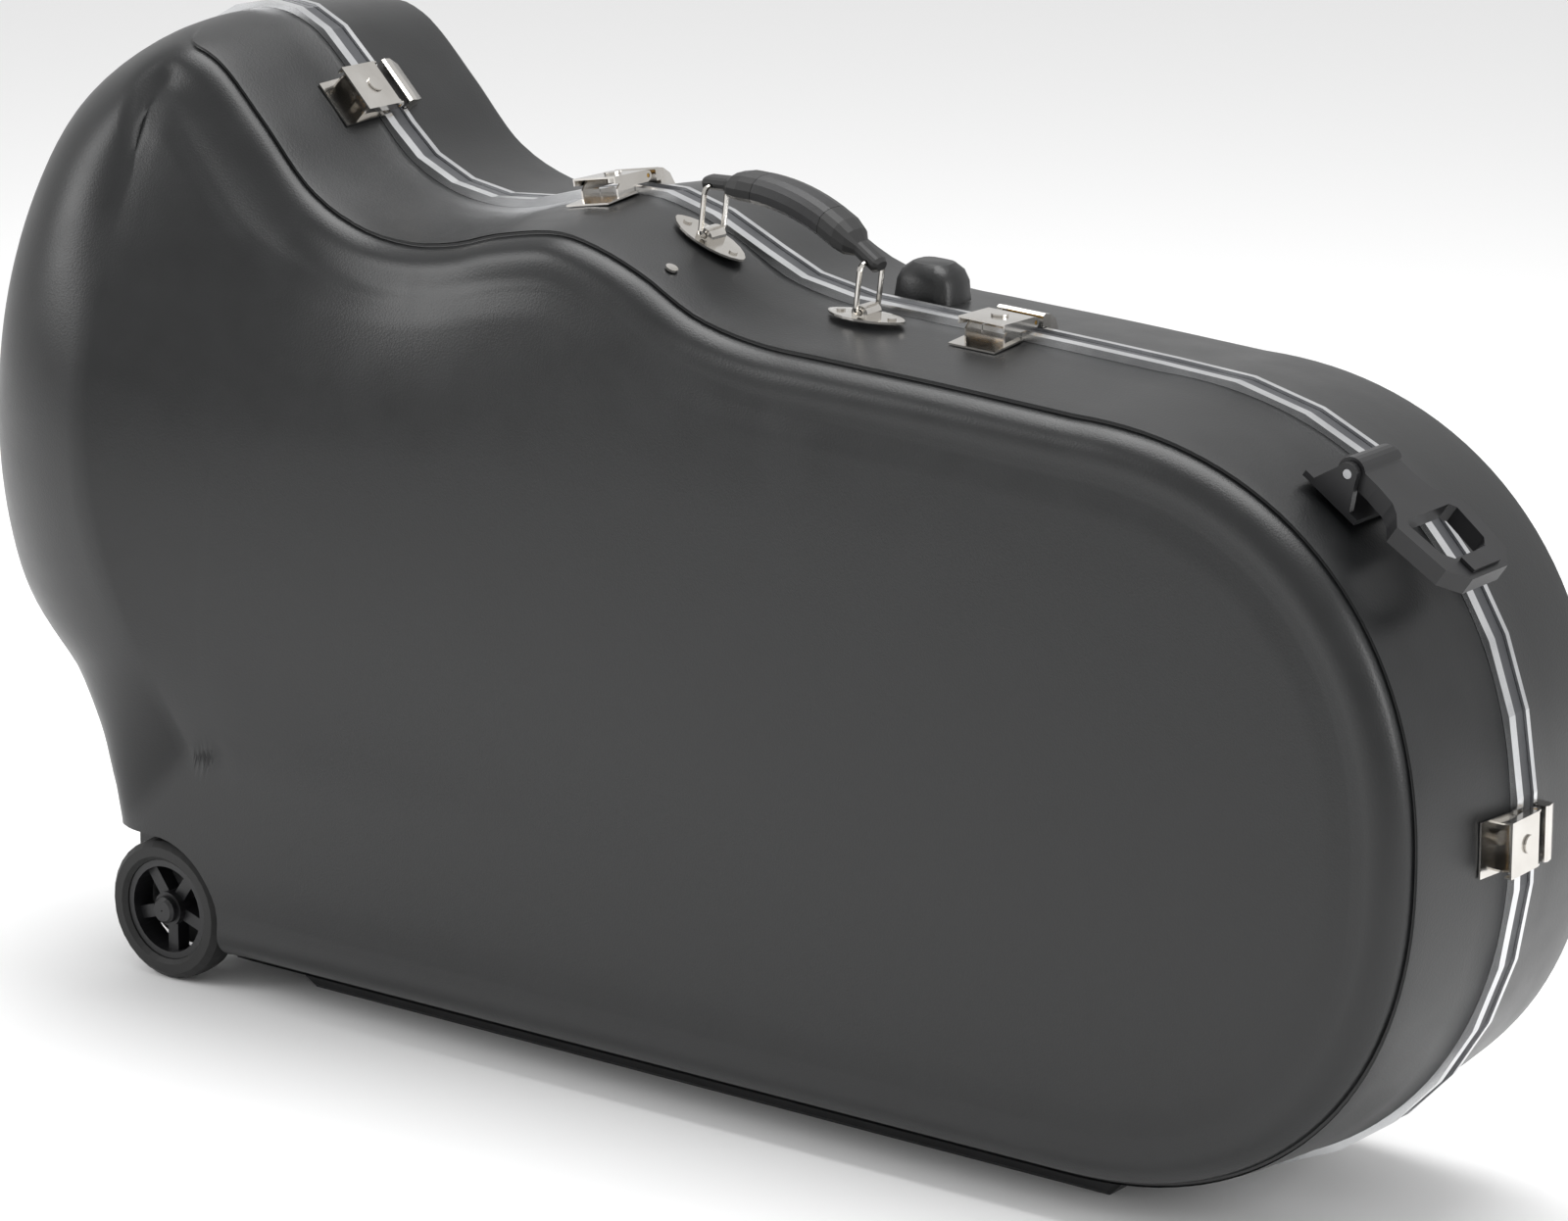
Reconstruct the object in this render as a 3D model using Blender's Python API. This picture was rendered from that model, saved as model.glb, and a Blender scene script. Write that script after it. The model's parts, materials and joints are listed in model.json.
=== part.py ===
"""Hard tuba case: two moulded half shells with an aluminium edge profile, lying on its long lower side.

Sizes are in metres. X runs from the bell end (-X) to the bow end (+X), the front half faces -Y, and Z is up from
the floor. Outline sizes are taken from the wheel axle along X and from the floor along Z.
"""
import math

import bmesh
import bpy
from mathutils import Matrix, Vector

# Gap between pieces that touch
SEAT = 0.0003
RUNNING = 0.0004

# Outline of the shell wall at the edge profile
BOTTOM_Z = 0.017
BOW_TOP_Z = 0.517
BOW_END_X = 0.999
BOW_LENGTH = 0.254
BOW_SQUARENESS = 2.2
FOOT_X = -0.050
FOOT_CORNER_RADIUS = 0.045
TOP_LINE = (
    (0.649, 0.522), (0.560, 0.5255), (0.510, 0.528), (0.463, 0.538), (0.421, 0.559), (0.382, 0.573),
    (0.346, 0.578), (0.297, 0.570), (0.262, 0.560), (0.225, 0.5555), (0.185, 0.561), (0.146, 0.580),
    (0.108, 0.619), (0.068, 0.656), (0.028, 0.667), (-0.015, 0.655), (-0.062, 0.620), (-0.095, 0.563),
    (-0.119, 0.490), (-0.133, 0.400), (-0.134, 0.320), (-0.122, 0.262), (-0.083, 0.205), (-0.058, 0.165),
    (FOOT_X, 0.125),
)
CHORD_SAG = 0.0011
LONGEST_CHORD = 0.060

# Shell section: wall, panel and the bulge that holds the bell
WALL = 0.004
WALL_DRAFT = 0.008
WALL_DEPTH = 0.103
GROOVE_DEPTH = 0.1045
PANEL_DEPTH = 0.1225
PANEL_EDGE = 0.046
BELL_DEPTH = 0.2165
BELL_CENTRE_Z = 0.410
BELL_HALF_HEIGHT = 0.240
BELL_FLARE_LENGTH = 0.190
CREASE_X = 0.035
CREASE_TOP_Z = 0.608
CREASE_BOTTOM_Z = 0.066
END_ROUNDING = 2.4
FOOT_ROUNDING = 6.0

# Edge profile, each strip from its front face to its rear face
FRONT_RIB_Y = (-0.0140, -0.0070)
BAND_Y = (-0.0067, 0.0057)
REAR_RIB_Y = (0.0060, 0.0100)
RIB_PROUD = 0.005
BAND_PROUD = 0.0025
THIN_RIB_PROUD = 0.0045
PROFILE_LIP = 0.009

# Padded lining
LINING = 0.012
LINING_GAP = 0.0006
LINING_SHRINK = 0.005
LINING_CENTRE = (0.120, 0.330)

# Wheels
TYRE_RADIUS = 0.050
TYRE_WIDTH = 0.027
TYRE_INNER_RADIUS = 0.0355
TYRE_FACE_Y = 0.1155
RECESS_RADIUS = 0.056
RECESS_BACK_Y = 0.0845
AXLE_RADIUS = 0.005
AXLE_FLANGE_RADIUS = 0.014
HUB_RADIUS = 0.012
HUB_CAP_RADIUS = 0.0095
SPOKES = 5
SPOKE_WIDTH = 0.009

# Runners
RUNNER_START_X = 0.076
RUNNER_END_X = 0.760
RUNNER_Y = (0.038, 0.0665)
RUNNER_CHAMFER = 0.018

# Latches: where each sits on the outline
LATCH_PLACES = (("bell", 0.111, 0.616), ("hump", 0.325, 0.577), ("top", 0.628, 0.523), ("bow", 0.998, 0.268))
LATCH_WIDTH = 0.035
SHEET = 0.0012
LATCH_PIN_Y = -0.0015
LATCH_PIN_HEIGHT = 0.0095
LATCH_PIN_RADIUS = 0.0013
LEVER_LENGTH = 0.034
LOCK_RADIUS = 0.0048
STRIKE_LENGTH = 0.024

# Carry handle
HANDLE_Y = -0.0345
HANDLE_PLATE_X = (0.417, 0.539)
PLATE_LENGTH = 0.058
PLATE_WIDTH = 0.028
PLATE_THICKNESS = 0.0015
WIRE_RADIUS = 0.0018
BAIL_WIDTH = 0.024
BAIL_HEIGHT = 0.032
BAIL_LEAN = 0.004
GRIP_RISE = 0.015
GRIP_WIDTH = 0.030
GRIP_HEIGHT = 0.020
TAB_WIDTH = 0.0145
TAB_HEIGHT = 0.010
TAB_LENGTH = 0.012
BOOT_LENGTH = 0.024

# Tow handle
TOW_PIN_X = 0.902
TOW_Y = -0.046
TOW_PIN_HEIGHT = 0.021
TOW_BARREL_RADIUS = 0.0095
TOW_PIN_RADIUS = 0.003
TOW_BARREL_LENGTH = 0.040
TOW_ARM_WIDTH = 0.044
TOW_ARM_LENGTH = 0.036
TOW_LOOP_WIDTH = 0.076
TOW_LOOP_END = 0.098
TOW_THICKNESS = 0.012
TOW_BAR = 0.011
TOW_EAR = 0.005

# Hinges along the lower edge
HINGE_PLACES = (0.190, 0.620)
HINGE_LENGTH = 0.060
HINGE_PIN_Y = 0.00585
HINGE_PIN_Z = 0.0080
HINGE_PIN_RADIUS = 0.0014
KNUCKLE_RADIUS = 0.0033
LEAF_THICKNESS = 0.0018

# Rivet and moulded bump
RIVET_PLACE = (0.428, -0.085)
RIVET_RADIUS = 0.0042
BUMP_X = 0.531
BUMP_SIZE = (0.046, 0.040, 0.021)
BUMP_Y = 0.048


def clear_scene():
    for thing in list(bpy.data.objects):
        bpy.data.objects.remove(thing, do_unlink=True)


def material(name, colour, roughness, metallic=0.0):
    made = bpy.data.materials.new(name)
    made.use_nodes = True
    shader = made.node_tree.nodes["Principled BSDF"]
    shader.inputs["Base Color"].default_value = (*colour, 1.0)
    shader.inputs["Roughness"].default_value = roughness
    shader.inputs["Metallic"].default_value = metallic
    return made


def blend(a, b, t):
    return a + (b - a) * t


def smooth_step(t):
    t = min(1.0, max(0.0, t))
    return t * t * (3.0 - 2.0 * t)


# Outline

def curve_through(points, steps):
    """Points on a smooth curve through the given points, which starts and ends along its first and last span."""
    first = points[0] * 2.0 - points[1]
    last = points[-1] * 2.0 - points[-2]
    padded = [first, *points, last]
    made = []
    for i in range(1, len(padded) - 2):
        p0, p1, p2, p3 = padded[i - 1:i + 3]
        for k in range(steps):
            t = k / steps
            bend = (p2 - p0) * t
            bend += (p0 * 2.0 - p1 * 5.0 + p2 * 4.0 - p3) * t * t
            bend += (p1 * 3.0 - p0 - p2 * 3.0 + p3) * t * t * t
            made.append(p1 + bend * 0.5)
    made.append(points[-1])
    return made


def fine_outline():
    """Closed wall outline, counter-clockwise seen from the front, as closely spaced (x, z) points."""
    bow_x = BOW_END_X - BOW_LENGTH
    bow_z = (BOW_TOP_Z + BOTTOM_Z) / 2.0
    rise = (BOW_TOP_Z - BOTTOM_Z) / 2.0
    top = [Vector((bow_x, BOW_TOP_Z))]
    top += [Vector(point) for point in TOP_LINE]
    made = curve_through(top, 24)
    corner = Vector((FOOT_X + FOOT_CORNER_RADIUS, BOTTOM_Z + FOOT_CORNER_RADIUS))
    for k in range(41):
        angle = math.pi + k / 40 * math.pi / 2.0
        made.append(corner + Vector((math.cos(angle), math.sin(angle))) * FOOT_CORNER_RADIUS)
    power = 2.0 / BOW_SQUARENESS
    for k in range(240):
        angle = -math.pi / 2.0 + math.pi * k / 240
        across = max(0.0, math.cos(angle)) ** power
        up = math.copysign(abs(math.sin(angle)) ** power, math.sin(angle))
        made.append(Vector((bow_x + BOW_LENGTH * across, bow_z + rise * up)))
    return even_spacing(made, 0.002)


def even_spacing(points, step):
    """The closed line through the points, read again at an even spacing."""
    closed = [*points, points[0]]
    lengths = [0.0]
    for a, b in zip(closed, closed[1:]):
        lengths.append(lengths[-1] + (b - a).length)
    count = round(lengths[-1] / step)
    made = []
    k = 0
    for i in range(count):
        at = lengths[-1] * i / count
        while lengths[k + 1] < at:
            k += 1
        span = lengths[k + 1] - lengths[k]
        made.append(closed[k].lerp(closed[k + 1], (at - lengths[k]) / span))
    return made


def outline_samples(fine):
    """(point, outward normal, share of the way round) at a spacing that follows the curvature."""
    count = len(fine)
    step = (fine[1] - fine[0]).length
    reach = 6
    spacing = []
    for i in range(count):
        before = fine[i] - fine[i - reach]
        after = fine[(i + reach) % count] - fine[i]
        turn = abs(before.angle(after, 0.0)) / (reach * step)
        spacing.append(min(LONGEST_CHORD, math.sqrt(8.0 * CHORD_SAG / max(turn, 1e-6))))
    smooth = [min(spacing[(i + k) % count] + abs(k) * step * 0.5 for k in range(-40, 41)) for i in range(count)]
    pace = [0.0]
    for value in smooth:
        pace.append(pace[-1] + step / value)
    wanted = round(pace[-1])
    made = []
    k = 0
    for i in range(wanted):
        at = pace[-1] * i / wanted
        while pace[k + 1] < at:
            k += 1
        tangent = (fine[(k + 2) % count] - fine[k - 2]).normalized()
        made.append((fine[k], Vector((tangent.y, -tangent.x)), k / count))
    return made


FINE = fine_outline()
AXLE_X = -(min(p.x for p in FINE) + max(p.x for p in FINE)) / 2.0
SAMPLES = outline_samples(FINE)


def world(x, y, z):
    return Vector((x + AXLE_X, y, z))


def top_edge(x):
    """Height of the outline's upper side at x."""
    return max(p.y for p in FINE if abs(p.x - x) < 0.004)


def bulge(x, z):
    """How far the bell's bulge stands out of the flat panel."""
    along = math.exp(-max(0.0, x - CREASE_X) / BELL_FLARE_LENGTH)
    if z > BELL_CENTRE_Z:
        reach = min(BELL_HALF_HEIGHT, top_edge(max(CREASE_X, x)) - 0.015 - BELL_CENTRE_Z)
    else:
        reach = BELL_HALF_HEIGHT
    share = min(1.0, abs(z - BELL_CENTRE_Z) / reach)
    return (BELL_DEPTH - PANEL_DEPTH) * along * (1.0 - share * share) ** 1.2


# Half shells

OUTER_WALL = (
    (0.0, 0.0), (WALL_DRAFT, WALL_DEPTH), (WALL_DRAFT + 0.0035, GROOVE_DEPTH), (WALL_DRAFT + 0.0045, 0.110),
    (WALL_DRAFT + 0.010, 0.118), (WALL_DRAFT + 0.020, PANEL_DEPTH), (PANEL_EDGE, PANEL_DEPTH - 0.002),
)
OUTER_DOME = (1.0, 0.985, 0.95, 0.87, 0.72, 0.45, 0.0)
PLAIN_WALL = ((0.0, 0.0), (WALL_DRAFT, WALL_DEPTH - 0.002), (WALL_DRAFT + 0.012, 0.116), (PANEL_EDGE, PANEL_DEPTH))
PLAIN_DOME = (1.0, 0.96, 0.75, 0.0)
INNER_RINGS = (0.12, 0.27, 0.45, 0.67, 0.94)
SPINE = (Vector((0.120, 0.400)), Vector((0.760, 0.270)))


def end_share(x, z):
    """1 on the domed bell end, 0 where the wall is upright, with a smooth change between."""
    if z > 0.3:
        return smooth_step((0.045 - x) / 0.045)
    return smooth_step((0.070 - x) / 0.050)


def half_rings(inset, seam, start_depth, wall, dome):
    """Rings of (x, depth, z) from start_depth to the middle of the panel, inset from the outer surface."""
    ends = [k for k, (p, n, s) in enumerate(SAMPLES) if end_share(p.x, p.y) > 0.0]
    first, last = SAMPLES[ends[0]][2], SAMPLES[ends[-1]][2]
    rings = [[] for k in range(len(wall) + len(INNER_RINGS))]
    for point, normal, share in SAMPLES:
        start = point - normal * inset
        bell = end_share(point.x, point.y)
        way = min(1.0, max(0.0, (share - first) / (last - first)))
        crease = Vector((CREASE_X, blend(CREASE_TOP_Z, CREASE_BOTTOM_Z, way)))
        crease_depth = PANEL_DEPTH + bulge(CREASE_X, crease.y) - inset
        power = blend(FOOT_ROUNDING, END_ROUNDING, smooth_step((crease.y - 0.14) / 0.12))
        here = start
        for k, ((draft, depth), t) in enumerate(zip(wall, dome)):
            upright = (point if draft == PANEL_EDGE else start) - normal * draft
            upright_depth = max(seam, depth - inset)
            if draft > WALL_DRAFT + 0.015:
                upright_depth += bulge(upright.x, upright.y)
            domed = crease.lerp(start, t)
            rounding = max(0.0, 1.0 - t ** power) ** (1.0 / power)
            domed_depth = blend(seam, crease_depth, rounding)
            here = upright.lerp(domed, bell)
            rings[k].append((here.x, blend(upright_depth, domed_depth, bell), here.y))
        along = min(1.0, max(0.0, (point.x - CREASE_X) / (BOW_END_X - 0.12 - CREASE_X)))
        middle = SPINE[0].lerp(SPINE[1], along)
        for k, t in enumerate(INNER_RINGS):
            inner = here.lerp(middle, t)
            rings[len(wall) + k].append((inner.x, PANEL_DEPTH + bulge(inner.x, inner.y) - inset, inner.y))
    rings[0] = [extended(first, second, start_depth) for first, second in zip(rings[0], rings[1])]
    return rings


def extended(first, second, depth):
    """The point at this depth on the straight line through two (x, depth, z) points."""
    share = (depth - second[1]) / (first[1] - second[1])
    return (blend(second[0], first[0], share), depth, blend(second[2], first[2], share))


def solid_from_rings(name, rings, side):
    """Closed solid: a flat face on the first ring, walls through the rings, and a fill across the last."""
    shape = bmesh.new()
    loops = []
    for ring in rings:
        loops.append([shape.verts.new(world(x, side * depth, z)) for x, depth, z in ring])
    count = len(loops[0])
    for a, b in zip(loops, loops[1:]):
        for i in range(count):
            j = (i + 1) % count
            if (a[i].co - b[j].co).length < 0.9 * (a[j].co - b[i].co).length:
                shape.faces.new((a[i], a[j], b[j]))
                shape.faces.new((a[i], b[j], b[i]))
            else:
                shape.faces.new((a[i], a[j], b[i]))
                shape.faces.new((a[j], b[j], b[i]))
    shape.faces.new(loops[0])
    middle = shape.faces.new(loops[-1])
    bmesh.ops.triangulate(shape, faces=[middle], ngon_method="BEAUTY")
    bmesh.ops.recalc_face_normals(shape, faces=shape.faces)
    return bare_object(name, shape)


# Helpers that turn meshes into objects

def bare_object(name, shape):
    mesh = bpy.data.meshes.new(name)
    shape.to_mesh(mesh)
    shape.free()
    made = bpy.data.objects.new(name, mesh)
    bpy.context.scene.collection.objects.link(made)
    return made


def with_boolean(target, other, operation):
    """Joins or cuts target by other for good, and removes other."""
    step = target.modifiers.new(operation, "BOOLEAN")
    step.operation = operation
    step.solver = "EXACT"
    step.object = other
    bpy.context.view_layer.update()
    graph = bpy.context.evaluated_depsgraph_get()
    mesh = bpy.data.meshes.new_from_object(target.evaluated_get(graph))
    target.modifiers.clear()
    old = target.data
    target.data = mesh
    bpy.data.meshes.remove(old)
    bpy.data.objects.remove(other, do_unlink=True)
    return target


def joined(first, *others):
    for other in others:
        with_boolean(first, other, "UNION")
    return first


def cut(target, *cutters):
    for cutter in cutters:
        with_boolean(target, cutter, "DIFFERENCE")
    return target


def finish(piece, name, look, round_shape=False):
    piece.name = name
    piece.data.name = name
    piece.data.materials.clear()
    piece.data.materials.append(look)
    for polygon in piece.data.polygons:
        polygon.material_index = 0
    if round_shape:
        piece.data.shade_smooth()
        piece.data.set_sharp_from_angle(angle=math.radians(35.0))
    return piece


def on_axis(piece, pivot):
    """Moves the piece's origin to its joint's axis and leaves the shape where it is."""
    piece.data.transform(Matrix.Translation(-Vector(pivot)))
    piece.location = Vector(pivot)
    return piece


def prism(points, low, high, place=None):
    """A flat outline of (u, w) points drawn out along v from low to high, put in place by a matrix."""
    shape = bmesh.new()
    front = [shape.verts.new((u, low, w)) for u, w in points]
    back = [shape.verts.new((u, high, w)) for u, w in points]
    count = len(points)
    shape.faces.new(front)
    shape.faces.new(back)
    for i in range(count):
        j = (i + 1) % count
        shape.faces.new((front[i], front[j], back[j], back[i]))
    bmesh.ops.recalc_face_normals(shape, faces=shape.faces)
    if place is not None:
        shape.transform(place)
    return bare_object("prism", shape)


def side_prism(points, low, high, place=None):
    """A flat outline of (v, w) points drawn out along u from low to high."""
    turn = Matrix(((0, 1, 0, 0), (1, 0, 0, 0), (0, 0, 1, 0), (0, 0, 0, 1)))
    made = prism(points, low, high, turn if place is None else place @ turn)
    made.data.flip_normals()
    return made


def flat_prism(points, low, high, place=None):
    """A flat outline of (u, v) points drawn out along w from low to high."""
    turn = Matrix(((1, 0, 0, 0), (0, 0, 1, 0), (0, 1, 0, 0), (0, 0, 0, 1)))
    made = prism(points, low, high, turn if place is None else place @ turn)
    made.data.flip_normals()
    return made


def box(low, high, place=None):
    corners = ((low[0], low[2]), (high[0], low[2]), (high[0], high[2]), (low[0], high[2]))
    return prism(corners, low[1], high[1], place)


def ring_points(radius, sides, phase=0.0):
    step = math.tau / sides
    return [(radius * math.cos(phase + k * step), radius * math.sin(phase + k * step)) for k in range(sides)]


def rod(radius, low, high, sides, place=None, centre=(0.0, 0.0), axis="v"):
    """A round bar along v, u or w, centred on a point of the plane square to it."""
    points = [(centre[0] + a, centre[1] + b) for a, b in ring_points(radius, sides, math.pi / sides)]
    draw = {"v": prism, "u": side_prism, "w": flat_prism}[axis]
    return draw(points, low, high, place)


def turned(profile, sides, place):
    """A closed (radius, v) profile turned round the v axis."""
    shape = bmesh.new()
    rings = []
    for k in range(sides):
        angle = math.tau * k / sides
        rings.append([shape.verts.new((r * math.cos(angle), v, r * math.sin(angle))) for r, v in profile])
    for k in range(sides):
        a, b = rings[k], rings[(k + 1) % sides]
        for i in range(len(profile)):
            j = (i + 1) % len(profile)
            shape.faces.new((a[i], a[j], b[j], b[i]))
    bmesh.ops.recalc_face_normals(shape, faces=shape.faces)
    shape.transform(place)
    return bare_object("turned", shape)


def wire_loop(path, radius, sides):
    """Round wire along a closed flat path of points."""
    shape = bmesh.new()
    count = len(path)
    flat = (path[1] - path[0]).cross(path[2] - path[1])
    k = 2
    while flat.length < 1e-9:
        flat = (path[1] - path[0]).cross(path[k] - path[1])
        k += 1
    flat.normalize()
    rings = []
    for i, point in enumerate(path):
        along = (path[(i + 1) % count] - path[i - 1]).normalized()
        out = along.cross(flat)
        rings.append([shape.verts.new(point + out * a + flat * b) for a, b in ring_points(radius, sides)])
    for i in range(count):
        a, b = rings[i], rings[(i + 1) % count]
        for k in range(sides):
            m = (k + 1) % sides
            shape.faces.new((a[k], a[m], b[m], b[k]))
    bmesh.ops.recalc_face_normals(shape, faces=shape.faces)
    return bare_object("wire", shape)


def loft(sections):
    """A solid through closed sections of equal count, with a face on each end."""
    shape = bmesh.new()
    loops = [[shape.verts.new(point) for point in section] for section in sections]
    count = len(loops[0])
    for a, b in zip(loops, loops[1:]):
        for i in range(count):
            j = (i + 1) % count
            shape.faces.new((a[i], a[j], b[j], b[i]))
    shape.faces.new(loops[0])
    shape.faces.new(loops[-1])
    bmesh.ops.recalc_face_normals(shape, faces=shape.faces)
    return bare_object("loft", shape)


def frame_at(x, z):
    """Matrix at the outline point nearest (x, z): u along the edge towards the bow, v along Y, w outwards."""
    target = Vector((x, z))
    k = min(range(len(FINE)), key=lambda i: (FINE[i] - target).length)
    tangent = (FINE[k - 3] - FINE[(k + 3) % len(FINE)]).normalized()
    at = world(FINE[k].x, 0.0, FINE[k].y)
    place = Matrix.Identity(4)
    place.col[0] = (tangent.x, 0.0, tangent.y, 0.0)
    place.col[1] = (0.0, 1.0, 0.0, 0.0)
    place.col[2] = (-tangent.y, 0.0, tangent.x, 0.0)
    place.col[3] = (*at, 1.0)
    return place


def wall_rise(place, half_width):
    """Highest point of the outline over the frame, within half_width of it along the edge."""
    inverse = place.inverted()
    rise = 0.0
    for point in FINE:
        local = inverse @ world(point.x, 0.0, point.y)
        if abs(local.x) <= half_width and abs(local.z) < 0.03:
            rise = max(rise, local.z)
    return rise


def draft_at(depth):
    """How far the wall leans in at this distance from the middle of the case."""
    start = -FRONT_RIB_Y[0]
    return WALL_DRAFT * max(0.0, depth - start) / (WALL_DEPTH - start)


# Pieces

def wheel_recess(grow, back):
    """Prism of the wheel's corner recess, in front of the front half."""
    radius = RECESS_RADIUS + grow
    points = [(-0.300, -0.100), (radius, -0.100)]
    for k in range(13):
        angle = math.pi / 2.0 * k / 12
        points.append((radius * math.cos(angle), TYRE_RADIUS + radius * math.sin(angle)))
    points.append((-0.300, TYRE_RADIUS + radius))
    return prism(points, -0.400, -back, Matrix.Translation((AXLE_X, 0.0, 0.0)))


def mirrored(piece):
    """The piece on the other side of the split plane."""
    piece.data.transform(Matrix.Scale(-1.0, 4, (0.0, 1.0, 0.0)))
    piece.data.flip_normals()
    return piece


def half_shell(rear):
    seam = REAR_RIB_Y[1] + SEAT if rear else -FRONT_RIB_Y[0] + SEAT
    outer = solid_from_rings("outer", half_rings(0.0, seam, seam, OUTER_WALL, OUTER_DOME), -1)
    inner = solid_from_rings("inner", half_rings(WALL, seam, seam - 0.004, PLAIN_WALL, PLAIN_DOME), -1)
    cut(inner, wheel_recess(WALL, RECESS_BACK_Y - WALL))
    cut(outer, wheel_recess(0.0, RECESS_BACK_Y))
    shell = cut(outer, inner)
    return mirrored(shell) if rear else shell


def shrunk(point):
    """An (x, depth, z) point drawn in towards the middle of the case, so that the lining stays off the shell."""
    x, depth, z = point
    keep = 1.0 - LINING_SHRINK
    return (blend(LINING_CENTRE[0], x, keep), depth * keep, blend(LINING_CENTRE[1], z, keep))


def half_lining(rear):
    seam = REAR_RIB_Y[1] + SEAT if rear else -FRONT_RIB_Y[0] + SEAT
    outer_rings = [
        [shrunk(point) for point in ring] for ring in half_rings(WALL, seam, seam, PLAIN_WALL, PLAIN_DOME)
    ]
    inner_rings = half_rings(WALL + LINING, seam, seam - 0.004, PLAIN_WALL, PLAIN_DOME)
    lining = solid_from_rings("lining", outer_rings, -1)
    cut(lining, solid_from_rings("hollow", inner_rings, -1))
    cut(lining, wheel_recess(WALL + LINING_GAP, RECESS_BACK_Y - WALL - LINING_GAP))
    return mirrored(lining) if rear else lining


def edge_strip(low_y, high_y, proud):
    """Strip of the edge profile: a rectangle drawn round the outline."""
    shape = bmesh.new()
    corners = ((-PROFILE_LIP, low_y), (proud, low_y), (proud, high_y), (-PROFILE_LIP, high_y))
    rings = []
    for point, normal, share in SAMPLES:
        ring = []
        for out, y in corners:
            at = point + normal * out
            ring.append(shape.verts.new(world(at.x, y, at.y)))
        rings.append(ring)
    count = len(rings)
    for i in range(count):
        a, b = rings[i], rings[(i + 1) % count]
        for k in range(4):
            m = (k + 1) % 4
            shape.faces.new((a[k], a[m], b[m], b[k]))
    bmesh.ops.recalc_face_normals(shape, faces=shape.faces)
    return bare_object("strip", shape)


def runner():
    """Rail under the front half, its top face along the shell's leaning lower wall."""
    low, high = RUNNER_Y
    shape = bmesh.new()
    top_low = BOTTOM_Z + draft_at(low) - SEAT
    top_high = BOTTOM_Z + draft_at(high) - SEAT
    stations = (
        (RUNNER_START_X, RUNNER_CHAMFER * 0.6), (RUNNER_START_X + RUNNER_CHAMFER, 0.0),
        (RUNNER_END_X - RUNNER_CHAMFER * 0.5, 0.0), (RUNNER_END_X, RUNNER_CHAMFER * 0.5),
    )
    rings = []
    for x, bottom in stations:
        corners = (
            (-high, bottom + 0.003), (-high + 0.003, bottom), (-low - 0.003, bottom), (-low, bottom + 0.003),
            (-low, top_low), (-high, top_high),
        )
        rings.append([world(x, y, z) for y, z in corners])
    shape.free()
    return loft(rings)


def bump():
    """Rounded moulded bump on the rear half's upper wall."""
    length, width, height = BUMP_SIZE
    place = frame_at(BUMP_X, 0.526)
    sections = []
    for share, scale in ((-0.13, 1.0), (0.45, 0.94), (0.78, 0.80), (1.0, 0.55)):
        ring = []
        for k in range(16):
            angle = math.tau * k / 16
            across = math.copysign(abs(math.cos(angle)) ** 0.6, math.cos(angle)) * length / 2.0 * scale
            along = math.copysign(abs(math.sin(angle)) ** 0.6, math.sin(angle)) * width / 2.0 * scale
            ring.append(place @ Vector((across, BUMP_Y + along, height * share)))
        sections.append(ring)
    return loft(sections)


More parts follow.
